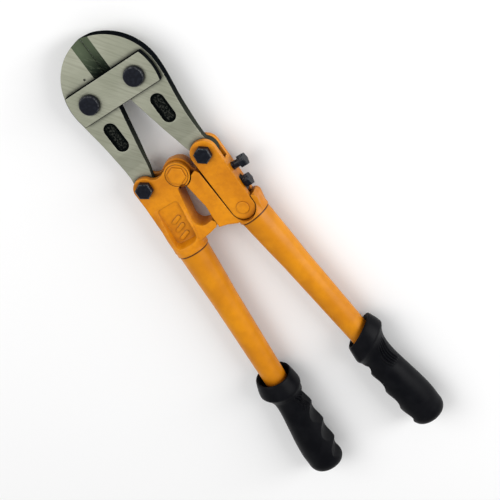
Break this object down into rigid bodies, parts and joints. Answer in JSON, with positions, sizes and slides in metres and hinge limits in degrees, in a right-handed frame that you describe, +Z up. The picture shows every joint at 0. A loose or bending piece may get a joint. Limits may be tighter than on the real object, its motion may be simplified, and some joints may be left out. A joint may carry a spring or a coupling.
{
  "type": "bolt cutters",
  "caption": "Compound-action hand bolt cutters with strapped centre-cut jaws, cast handle heads, an adjusting yoke, tapered tube handles and moulded grips.",
  "frame": {"origin": "under the middle of the whole tool's box, on the surface that it lies on", "axes": "+Y towards the jaw tips, +X towards the handle with the adjusting yoke, +Z up out of the front face"},
  "size_m": [0.1096, 0.35, 0.029],
  "materials": {
    "blade_steel": "ground, satin",
    "paint": "baked gloss enamel over cast and drawn steel",
    "black_oxide": "black oxide, satin",
    "grip_rubber": "moulded, satin"
  },
  "bodies": {
    "handle_left": {"left_casting": "paint", "tube_left": "paint", "grip_left": "grip_rubber", "tang_left_bolt": "black_oxide", "tang_left_nut": "black_oxide", "centre_bolt": "paint", "centre_nut": "paint"},
    "handle_right": {"right_casting": "paint", "tube_right": "paint", "grip_right": "grip_rubber"},
    "blade_left": {"blade_left": "blade_steel"},
    "straps": {"strap_front": "blade_steel", "strap_rear": "blade_steel", "jaw_bolt_left": "black_oxide", "jaw_bolt_right": "black_oxide", "jaw_nut_left": "black_oxide", "jaw_nut_right": "black_oxide"},
    "blade_right": {"blade_right": "blade_steel"},
    "yoke": {"adjusting_yoke": "paint", "yoke_rivet": "paint", "tang_right_bolt": "black_oxide", "tang_right_nut": "black_oxide", "lock_block": "black_oxide"},
    "jack_screw": {"jack_screw": "black_oxide"},
    "lock_screw": {"lock_screw": "black_oxide"}
  },
  "joints": [
    {"name": "handles", "type": "hinge", "parent": "handle_left", "child": "handle_right", "pos_m": [0, 0.0693, 0.0145], "axis": [0, 0, 1], "range_deg": [0, 80]},
    {"name": "left_tang", "type": "hinge", "parent": "handle_left", "child": "blade_left", "pos_m": [-0.0239, 0.0723, 0.0145], "axis": [0, 0, 1], "range_deg": [0, 46.55]},
    {"name": "left_jaw", "type": "hinge", "parent": "blade_left", "child": "straps", "pos_m": [-0.018, 0.1382, 0.0145], "axis": [0, 0, 1], "range_deg": [-6.55, 0]},
    {"name": "right_jaw", "type": "hinge", "parent": "straps", "child": "blade_right", "pos_m": [0.018, 0.1382, 0.0145], "axis": [0, 0, 1], "range_deg": [-6.55, 0]},
    {"name": "yoke_tilt", "type": "hinge", "parent": "handle_right", "child": "yoke", "pos_m": [0.024, 0.0285, 0.0145], "axis": [0, 0, 1], "range_deg": [-0.8, 0.8]},
    {"name": "jack_screw_turn", "type": "hinge", "parent": "yoke", "child": "jack_screw", "pos_m": [0.04, 0.0537, 0.0145], "axis": [1, 0, 0], "range_deg": [0, 360]},
    {"name": "lock_screw_turn", "type": "hinge", "parent": "yoke", "child": "lock_screw", "pos_m": [0.036, 0.0409, 0.0145], "axis": [1, 0, 0], "range_deg": [0, 360]}
  ],
  "couplings": [
    {"joint": "left_tang", "follows": "handles", "ratio": 0.58149},
    {"joint": "left_jaw", "follows": "handles", "ratio": -0.081488},
    {"joint": "right_jaw", "follows": "handles", "ratio": -0.081488}
  ]
}
